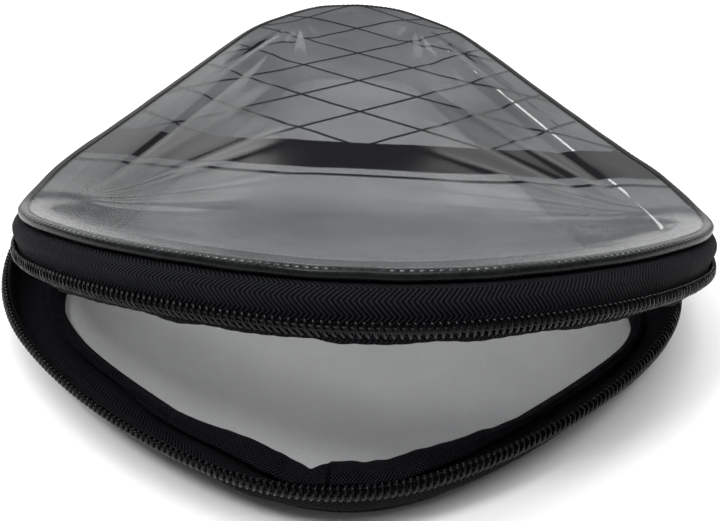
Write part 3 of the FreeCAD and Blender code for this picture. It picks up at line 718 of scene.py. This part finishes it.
def clear_sheet(name, least, most, printed):
    """Clear vinyl with a smoky tint, of an opacity from least to most; the tint is faint haze
    plus painted shade over what is seen through. The lid's carries a plain print.
    """
    ink_colour, ink_opacity = (0.004, 0.004, 0.005), 0.93
    finish = Finish(name)
    haze = finish.noise(scale=14, detail=4, roughness=0.6)
    fine = finish.noise(scale=500, roughness=0.6)
    # Grey tint: faint haze of the sheet together with painted shade of the case's inside.
    haze_and_painted_shade = [(0.3, (0.12, 0.126, 0.129)), (0.75, (0.25, 0.26, 0.265))]
    colour = finish.ramp(haze, haze_and_painted_shade)
    # The opacity darkens what lies behind the sheet: haze and painted shade.
    alpha = finish.between(haze, least, most)
    if printed:
        ink = print_layout(finish)
        colour = finish.mix(ink, colour, ink_colour)
        alpha = finish.maths("MAXIMUM", alpha, finish.scaled(ink, ink_opacity))
    finish.drive("Base Color", colour)
    finish.drive("Alpha", alpha)
    finish.drive("Roughness", finish.between(fine, low=0.10, high=0.17))
    relief = finish.maths("ADD", haze, finish.scaled(fine, 0.008))
    finish.bump(relief, distance=0.35, strength=0.4)
    finish.set(Specular_IOR_Level=0.42)
    return finish.material


def print_layout(finish):
    """Plain generic print: one broad band, a pinstripe beside it and a lozenge grid behind."""
    x, y = finish.cloth()
    level = finish.maths("ADD", y, finish.scaled(x, BAND_SLANT))
    total = finish.maths("MAXIMUM", finish.within(level, BAND_AT, BAND_HALF),
                         finish.within(level, PINSTRIPE_AT, PINSTRIPE_HALF))
    behind = finish.maths("GREATER_THAN", level, GRID_FROM)
    for lean in (-GRID_LEAN, GRID_LEAN):
        across = finish.maths("ADD", y, finish.scaled(x, lean))
        line = finish.maths("LESS_THAN", finish.maths("PINGPONG", across, GRID_PITCH), GRID_HALF)
        total = finish.maths("MAXIMUM", total, finish.maths("MULTIPLY", line, behind))
    return total


TAPE = herringbone_tape()
BINDING = plain_weave()
PIPING = vinyl("piping_vinyl", (0.004, 0.0045, 0.0047), (0.011, 0.012, 0.0125),
               mottling=260, roughness=0.27, gloss=0.12)
NYLON = vinyl("coil_nylon", (0.001, 0.001, 0.0014), (0.003, 0.003, 0.004),
              mottling=500, roughness=0.13, gloss=0.15)
THREAD = thread_finish()
PIPING_THREAD = light_thread_finish()
ENAMEL = enamel()
# Both sheets' smoky tint and opacity are partly painted shade.
LID_SHEET = clear_sheet("lid_clear_sheet", least=0.24, most=0.42, printed=True)
BASE_SHEET = clear_sheet("base_clear_sheet", least=0.18, most=0.34, printed=False)


# ---------------------------------------------------------------- pieces of a tray

def repeated(section, distance):
    """A copy of a section of shape (points, 2) for every station."""
    return np.repeat(section[None], len(distance), 0)


def make_tape(prefix, upper):
    """Woven wall: it leaves the seam beside the bead, rounds out and stands up to the coil."""
    line = smooth_line([(-11.7, 1.1), (-8.4, 1.45), (-6.0, 2.1), (-4.1, 3.15), (-2.4, 3.7),
                        (-0.9, 4.6), (0.0, 6.0), (0.25, 7.7), (0.12, 10.0),
                        (0.0, TAPE_TOP - 1.2), (0.0, TAPE_TOP)], count=30)
    distance = stations(spacing=1.4, half=OPEN_HALF)
    section = repeated(thick_line(line, TAPE_THICK), distance)
    bulge = BULGE + BULGE_WAVE * wobble(distance, wave=42, seed=11 if upper else 12)
    section[..., 0] += bell(section[..., 1], BULGE_UP, BULGE_OVER) * bulge[:, None]
    top = ease((section[..., 1] - TAPE_TOP) / TOP_STRIP + 1)
    mouth = mouth_share(distance)
    meeting = (1 - mouth) * (TO_MIDDLE - (TO_MIDDLE - TO_HEADS) * slider_zone(distance))
    section[..., 1] += top * meeting[:, None]
    if upper:
        edge = mouth[:, None] * top
        ripple = EDGE_RIPPLE * wobble(distance, wave=22, seed=13)
        ripple = ripple + TAG_DEPTH * bell(distance, TAG_AT, TAG_WIDTH)
        section[..., 1] += edge * (TAPE_EDGE + ripple[:, None])
        section[..., 0] -= edge * HEAD_CURL
    pucker = PUCKER * bell(section[..., 0], PUCKER_OUT, PUCKER_OVER)
    section[..., 1] -= pucker * (1 + np.cos(TURN * distance / STITCH))[:, None]
    piece = band_piece(f"{prefix}_tape_wall", tray(distance, section, upper), distance,
                       TAPE, prefix, False)
    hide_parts(f"{prefix}_zip_tape")


def squared(value, power):
    """A sine or cosine with its round tops made squarer."""
    return np.sign(value) * np.abs(value) ** power


def make_piping(prefix, upper):
    """Extruded piping: a flat-topped bead with needle dents, on the flange in the seam."""
    sides = 18
    angle = np.arange(sides) * TURN / sides
    bead = np.stack([squared(np.cos(angle), BEAD_SQUARE) * BEAD_HALF_WIDTH,
                     squared(np.sin(angle), BEAD_SQUARE) * BEAD_HALF_HEIGHT], -1)
    bead += [BEAD_OUT, BEAD_UP]
    distance = stations(spacing=0.42)
    section = repeated(bead, distance)
    outer = bell(section[..., 0], STITCH_OUT, DENT_OVER) * (section[..., 1] < BEAD_UP)
    from_needle = np.mod(distance + STITCH / 2, STITCH) - STITCH / 2
    section[..., 1] += outer * np.exp(-from_needle ** 2 / DENT_ALONG)[:, None] * DENT
    rise = BEAD_WAVE_UP * wobble(distance, wave=30, seed=21 if upper else 22)
    shift = BEAD_WAVE_OUT * wobble(distance, wave=55, seed=23 if upper else 24)
    section[..., 1] = np.maximum(section[..., 1] + rise[:, None], BEAD_LOWEST)
    section[..., 0] += shift[:, None]
    piece = band_piece(f"{prefix}_piping_bead", tray(distance, section, upper), distance,
                       PIPING, prefix, True)
    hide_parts(f"{prefix}_piping")


def make_flange(prefix, upper):
    """Sewn edge of the piping, from the bead in to the seam."""
    line = smooth_line([(-4.6, 0.95), (-7.0, 0.72), (-11.8, 0.62)], count=8)
    distance = stations(spacing=2.0)
    section = thick_line(line, -FLANGE_THICK)[None]
    piece = band_piece(f"{prefix}_piping_flange", tray(distance, section, upper), distance,
                       PIPING, prefix, True)


def make_piping_stitches(prefix, upper):
    """Short thread floats between the needle dents of the bead."""
    steps = len(STITCH_ARCH)
    reach = np.linspace(-STITCH_HALF, STITCH_HALF, steps)
    section = np.stack([np.full(steps, STITCH_OUT), STITCH_ARCH], -1)[:, None]
    parts = []
    for number in range(int(rim.length / STITCH)):
        line = tray(number * STITCH + STITCH / 2 + reach, section, upper)[:, 0]
        parts.append(tube_mesh(line, STITCH_RADIUS, sides=5))
    points, faces = joined(parts)
    piece = make_piece(f"{prefix}_piping_stitches", points, faces, PIPING_THREAD, body=prefix)


def make_binding(prefix, upper):
    """Puffy woven binding folded over the seam inside the tray."""
    ring = smooth_line([(-7.4, 3.35), (-8.9, 4.15), (-10.9, 4.5), (-13.1, 3.9), (-14.5, 2.5),
                        (-14.6, 1.1), (-13.6, 0.62), (-12.2, 0.66), (-11.9, 1.5),
                        (-10.0, 2.3)], count=30, closed=True)
    distance = stations(spacing=1.3)
    section = repeated(ring, distance)
    top = rising(section[..., 1], start=1.4, over=2.0)
    seed = 31 if upper else 32
    swell = SWELL_LONG * wobble(distance, wave=36, seed=seed)
    swell = swell + SWELL_SHORT * wobble(distance, wave=11, seed=seed + 5)
    section[..., 1] += top * (SWELL + swell)[:, None]
    section[..., 0] += BINDING_WAVE * wobble(distance, wave=60, seed=seed + 9)[:, None] * top
    if not upper:
        run = rim.signed(distance)
        mouth = mouth_share(distance)
        flanks = rising(np.abs(run), FRONT_REACH, FRONT_FADE)
        narrow = mouth * (BINDING_NARROW * flanks - BINDING_WIDE * bell(run, 0.0, FRONT_FADE))
        section[..., 0] += narrow[:, None] * rising(-section[..., 0], start=8.0, over=5.0)
        section[..., 1] += BINDING_RISE * mouth[:, None] * top
        dip = np.exp(-np.abs(distance - rim.length - DIP_AT) / DIP_REACH)[:, None]
        dip = dip * rising(-section[..., 0], start=8.5, over=4.0)
        section[..., 0] += DIP_OUT * dip
        section[..., 1] -= DIP_DOWN * dip * top
    piece = band_piece(f"{prefix}_seam_binding", tray(distance, section, upper), distance,
                       BINDING, prefix, True)
    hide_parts(f"{prefix}_binding")


def coil_span(upper):
    """Where a coil starts, how many turns it has and where it ends, short of the hinge band.

    The lid's starts in front of the parked slider, and the base's runs on through it.
    """
    near = rim.side_end - (LID_COIL_START if upper else BASE_COIL_START)
    return near, int((near + OPEN_HALF - COIL_END) / PITCH)


def make_coil(prefix, upper):
    """Nylon coil: one filament in flat loops. Outer legs lean, heads curl in at the mouth."""
    near, turns = coil_span(upper)
    steps = 20
    phase = np.arange(turns * steps + 1) / steps
    circle = TURN * phase
    lead = LEG_LEAN * (1 - np.cos(circle)) / 2
    distance = near + (phase + lead - turns - LEG_LEAN) * PITCH
    mouth = mouth_share(distance)
    low = COIL_HEEL + (LID_HEEL if upper else BASE_HEEL)
    high = COIL_HEAD - (HEAD_SINK * mouth if upper else 0.0)
    half = (high - low) / 2 - FILAMENT
    lift = COIL_DEPTH / 2 - FILAMENT
    height = -squared(np.cos(circle), power=0.75)
    head = rising(height, start=0.1, over=0.9)
    out = FILAMENT + lift + lift * squared(np.sin(circle), power=0.7)
    out -= HEAD_CURL * head * mouth
    section = np.stack([out, (low + high) / 2 + half * height], -1)[:, None]
    line = tray(distance, section, upper)[:, 0]
    points, faces = tube_mesh(line, FILAMENT * (1 + HEAD_SWELL * head), sides=8)
    piece = make_piece(f"{prefix}_coil_filament", points, faces, NYLON, body=prefix)
    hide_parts(f"{prefix}_zip_coil")


def make_coil_threads(prefix, upper):
    """The row of lock stitches that holds the coil's legs to the tape, and its filler cord."""
    near, turns = coil_span(upper)
    steps = 6
    phase = np.arange(turns * steps + 1) / steps
    circle = TURN * phase
    distance = near - phase * PITCH
    curl = LOCK_CURL * mouth_share(distance)
    stitch = np.stack([LOCK_OUT + LOCK_RIDE * np.cos(circle) - curl,
                       COIL_HEEL + LOCK_UP + LOCK_WEAVE * np.sin(circle)], -1)
    cord = np.full((len(phase), 2), (COIL_DEPTH / 2, COIL_HEEL + CORD_UP))
    parts = [tube_mesh(tray(distance, stitch[:, None], upper)[:, 0], LOCK_RADIUS, sides=6),
             tube_mesh(tray(distance, cord[:, None], upper)[:, 0], CORD_RADIUS, sides=8)]
    points, faces = joined(parts)
    piece = make_piece(f"{prefix}_coil_threads", points, faces, THREAD, body=prefix)


def make_window(prefix, upper):
    """Clear sheet: rings drawn in from its sewn edge, hanging a little and pulled into folds."""
    distance = stations(spacing=1.5)
    point, normal = rim.at(distance)
    out = np.full(len(distance), SHEET_OUT) if upper else SHEET_OUT - floor_lean(distance)
    edge = point + normal * out[:, None]
    centre = np.array([0.0, rim.crease_y + SHEET_CENTRE])
    share = 1 - np.linspace(0, 1, SHEET_RINGS + 1)[:-1] ** RING_POWER
    flat = centre + (edge[None] - centre) * share[:, None, None]
    gap = (1 - share)[:, None] * np.sum((edge - centre) * normal, -1)[None]
    x, y = flat[..., 0], flat[..., 1]
    relief = window_relief(x, y, gap) if upper else floor_relief(x, y, gap)
    layers = [np.stack([x, y, SHEET_UP + side + relief], -1) for side in (0.0, SHEET_THICK)]
    points = np.concatenate([place(layer, upper).reshape(-1, 3) for layer in layers])
    columns = len(distance)
    count = SHEET_RINGS * columns
    faces = []
    for first in (0, count):
        faces += grid_faces(SHEET_RINGS, columns, False, first)
    for middle in (count - columns, 2 * count - columns):
        faces.append(list(range(middle, middle + columns)))
    for index in range(columns):
        after = (index + 1) % columns
        faces.append([index, after, count + after, count + index])
    uv = np.concatenate([flat.reshape(-1, 2)] * 2)
    piece = make_piece(f"{prefix}_clear_window", points, faces,
                       LID_SHEET if upper else BASE_SHEET, uv, prefix)
    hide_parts(f"{prefix}_window")
    after = np.roll(edge, -1, axis=0)


def fold(x, y, start, bearing, length, width, height):
    """A tension fold: a ridge that leaves a point and dies away along its bearing."""
    ahead = (math.cos(bearing), math.sin(bearing))
    along = (x - start[0]) * ahead[0] + (y - start[1]) * ahead[1]
    beside = (y - start[1]) * ahead[0] - (x - start[0]) * ahead[1]
    share = along / length
    spread = width * (NARROWEST + WIDENING * np.clip(share, 0, 1))
    rise = ease(share / RISEN_AT) * (1 - rising(share, FADES_FROM, 1 - FADES_FROM))
    return height * rise / (1 + (beside / spread) ** 2)


def fan(x, y, start, degrees, count, reach, rng):
    """Folds that leave one point at bearings spread over two degrees. The first are longest."""
    first, last = (math.radians(bearing) for bearing in degrees)
    total = np.zeros_like(x)
    for number in range(count):
        share = number / (count - 1)
        bearing = first + (last - first) * share + rng.uniform(*BEARING_RANGE)
        length = reach * (1 - SHORTENING * share) * rng.uniform(*LENGTH_RANGE)
        height = rng.uniform(*HEIGHT_RANGE) * (-1) ** number
        width = rng.uniform(*WIDTH_RANGE)
        total += fold(x, y, start, bearing, length, width, height)
    return total


def window_relief(x, y, gap):
    """How far the lid's sheet lies below its edge: it hangs, and folds fan from the corners."""
    rng = np.random.default_rng(7)
    corner, far_end = (84.0, rim.crease_y - 6.0), (24.0, 112.0)
    depth = WINDOW_SAG * rising(gap, SAG_FROM, SAG_OVER)
    folds = np.zeros_like(x)
    for side in (-1, 1):
        folds += fan(side * x, y, corner, degrees=(112, 196), count=9, reach=165.0, rng=rng)
        folds += fan(side * x, y, far_end, degrees=(-62, -110), count=5, reach=95.0, rng=rng)
    crumple = np.sin(x / 4.3 + 2.1 * np.sin(y / 9.7)) * np.sin(y / 5.1 + 1.7 * np.sin(x / 7.9))
    at_rear, at_right = rising(y, start=62.0, over=35.0), rising(x, start=30.0, over=40.0)
    folds += 0.16 * crumple * at_rear
    folds += 0.10 * crumple * at_right * rising(gap, start=2.0, over=6.0)
    return depth + folds * rising(gap, start=1.5, over=8.0)


def floor_relief(x, y, gap):
    """Soft wrinkles of the base's sheet, which lies on the floor and lifts here and there."""
    rng = np.random.default_rng(9)
    corner = (80.0, rim.crease_y - 14.0)
    lift = 0.25 + 0.12 * np.sin(x / 9 + y / 23) + 0.10 * np.sin(y / 7 - x / 19)
    for side in (-1, 1):
        lift += fan(side * x, y, corner, degrees=(120, 235), count=7, reach=90.0, rng=rng)
    return np.clip(lift, 0.0, 1.3) * rising(gap, start=1.0, over=7.0)


def make_hinge_band():
    """Fabric band across the narrow end: one piece that runs from the base's seam over the hinge
    line to the lid's.
    """
    bend_half, overlap = 2.2, 1.2
    low = [(-11.6, 1.3), (-8.4, 1.7), (-5.4, 2.9), (-2.6, 4.0), (-0.7, 5.0), (0.35, 6.4),
           (0.55, 8.3), (0.9, 10.7), (1.7, 13.2), (2.35, CLOSED_HEIGHT / 2)]
    sink = WINDOW_SINK * (1 - np.clip(np.array(low)[:, 1] / COIL_HEEL, 0, 1))
    high = [(out, CLOSED_HEIGHT - up - down) for (out, up), down in zip(low, sink)]
    line = smooth_line(low + high[-2::-1], count=90)
    distance = rim.half + stations(spacing=1.25, half=HINGE_HALF + overlap)
    points = swept(distance, repeated(thick_line(line, TAPE_THICK), distance))
    piece = band_piece("hinge_band_cloth", points, distance, TAPE, None, False)
    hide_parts("base_hinge_band", "lid_hinge_band")
    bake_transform(piece)


for prefix, upper in (("base", False), ("lid", True)):
    make_tape(prefix, upper)
    make_piping(prefix, upper)
    make_flange(prefix, upper)
    make_piping_stitches(prefix, upper)
    make_binding(prefix, upper)
    make_coil(prefix, upper)
    make_coil_threads(prefix, upper)
    make_window(prefix, upper)
make_hinge_band()

for node in ("slider_body", "pull_tab", "base_zip_stops", "lid_zip_stops"):
    piece = frame["nodes"][node]
    piece.data.materials.clear()
    piece.data.materials.append(ENAMEL)


# ---------------------------------------------------------------- stage, light and camera

def make_stage():
    """Pale floor with painted shade: it darkens slowly with the distance from the camera's side.
    """
    pale_then_painted_shade = [(0.42, (0.90, 0.90, 0.90)), (1.0, (0.50, 0.50, 0.505))]
    finish = Finish("pale_floor")
    where = finish.node("ShaderNodeTexCoord").outputs["Object"]
    away = finish.node("ShaderNodeVectorMath", operation="DISTANCE")
    finish.join(where, away.inputs[0])
    away.inputs[1].default_value = (0, -1.5, 0)
    mottled = finish.scaled(finish.noise(scale=3), 0.05)
    share = finish.maths("ADD", away.outputs["Value"], mottled)
    # Painted shade: the floor's colour darkens with distance, standing in for light falling off.
    finish.drive("Base Color", finish.ramp(share, pale_then_painted_shade))
    finish.set(Roughness=0.9, Specular_IOR_Level=0.1)
    bpy.ops.mesh.primitive_plane_add(size=8, location=(0, 1.5, -0.0004))
    floor = bpy.context.object
    floor.name = "floor"
    floor.data.materials.append(finish.material)


def make_sky():
    """Even soft light from all round, brighter overhead."""
    levels = [(0.0, 0.10), (0.62, 0.12), (1.0, 0.60)]
    world = bpy.data.worlds.new("studio")
    bpy.context.scene.world = world
    world.use_nodes = True
    tree = world.node_tree
    where = tree.nodes.new("ShaderNodeTexCoord")
    parts = tree.nodes.new("ShaderNodeSeparateXYZ")
    ramp = tree.nodes.new("ShaderNodeValToRGB")
    ramp.color_ramp.elements.new(0.5)
    for element, (position, level) in zip(ramp.color_ramp.elements, levels):
        element.position = position
        element.color = (level, level, level * 1.03, 1)
    tree.links.new(where.outputs["Generated"], parts.inputs[0])
    tree.links.new(parts.outputs["Z"], ramp.inputs[0])
    tree.links.new(ramp.outputs[0], tree.nodes["Background"].inputs[0])


def add_softbox(name, location, target, size, power):
    """A rectangular lamp that faces its target. Metres and watts."""
    data = bpy.data.lights.new(name, "AREA")
    data.shape = "RECTANGLE"
    data.size, data.size_y = size
    data.energy = power
    lamp = bpy.data.objects.new(name, data)
    lamp.location = location
    facing = Vector(target) - Vector(location)
    lamp.rotation_euler = facing.to_track_quat("-Z", "Y").to_euler()
    bpy.context.scene.collection.objects.link(lamp)


def make_light():
    """The sky, a small key lamp, a large one overhead, and one behind on either side."""
    make_sky()
    add_softbox("key", (-0.35, -0.35, 0.80), target=(0, 0, 0.02), size=(0.16, 0.16), power=3.0)
    add_softbox("overhead", (0, -0.05, 1.0), target=(0, 0, 0), size=(1.3, 1.0), power=14.0)
    for name, x, power in (("left", -0.50, 2.8), ("right", 0.50, 1.6)):
        add_softbox(name, (x, 0.80, 0.46), target=(0, 0.02, 0.03), size=(0.84, 0.64), power=power)
    bpy.context.scene.view_settings.view_transform = "Standard"


def make_camera():
    """The photographer's place: low in front of the mouth, close, looking down at it."""
    place_m = (-0.00147, -0.2745, 0.1761)
    tilt, heading, roll = math.radians(55), -0.017, 0.033
    data = bpy.data.cameras.new("camera")
    data.lens = 47.0
    data.sensor_width = 36.0
    data.sensor_fit = "HORIZONTAL"
    data.clip_start = 0.01
    camera = bpy.data.objects.new("camera", data)
    turn = (Matrix.Rotation(heading, 4, "Z") @ Matrix.Rotation(tilt, 4, "X")
            @ Matrix.Rotation(roll, 4, "Z"))
    camera.matrix_world = Matrix.Translation(place_m) @ turn
    bpy.context.scene.collection.objects.link(camera)
    bpy.context.scene.camera = camera


make_stage()
make_light()
make_camera()
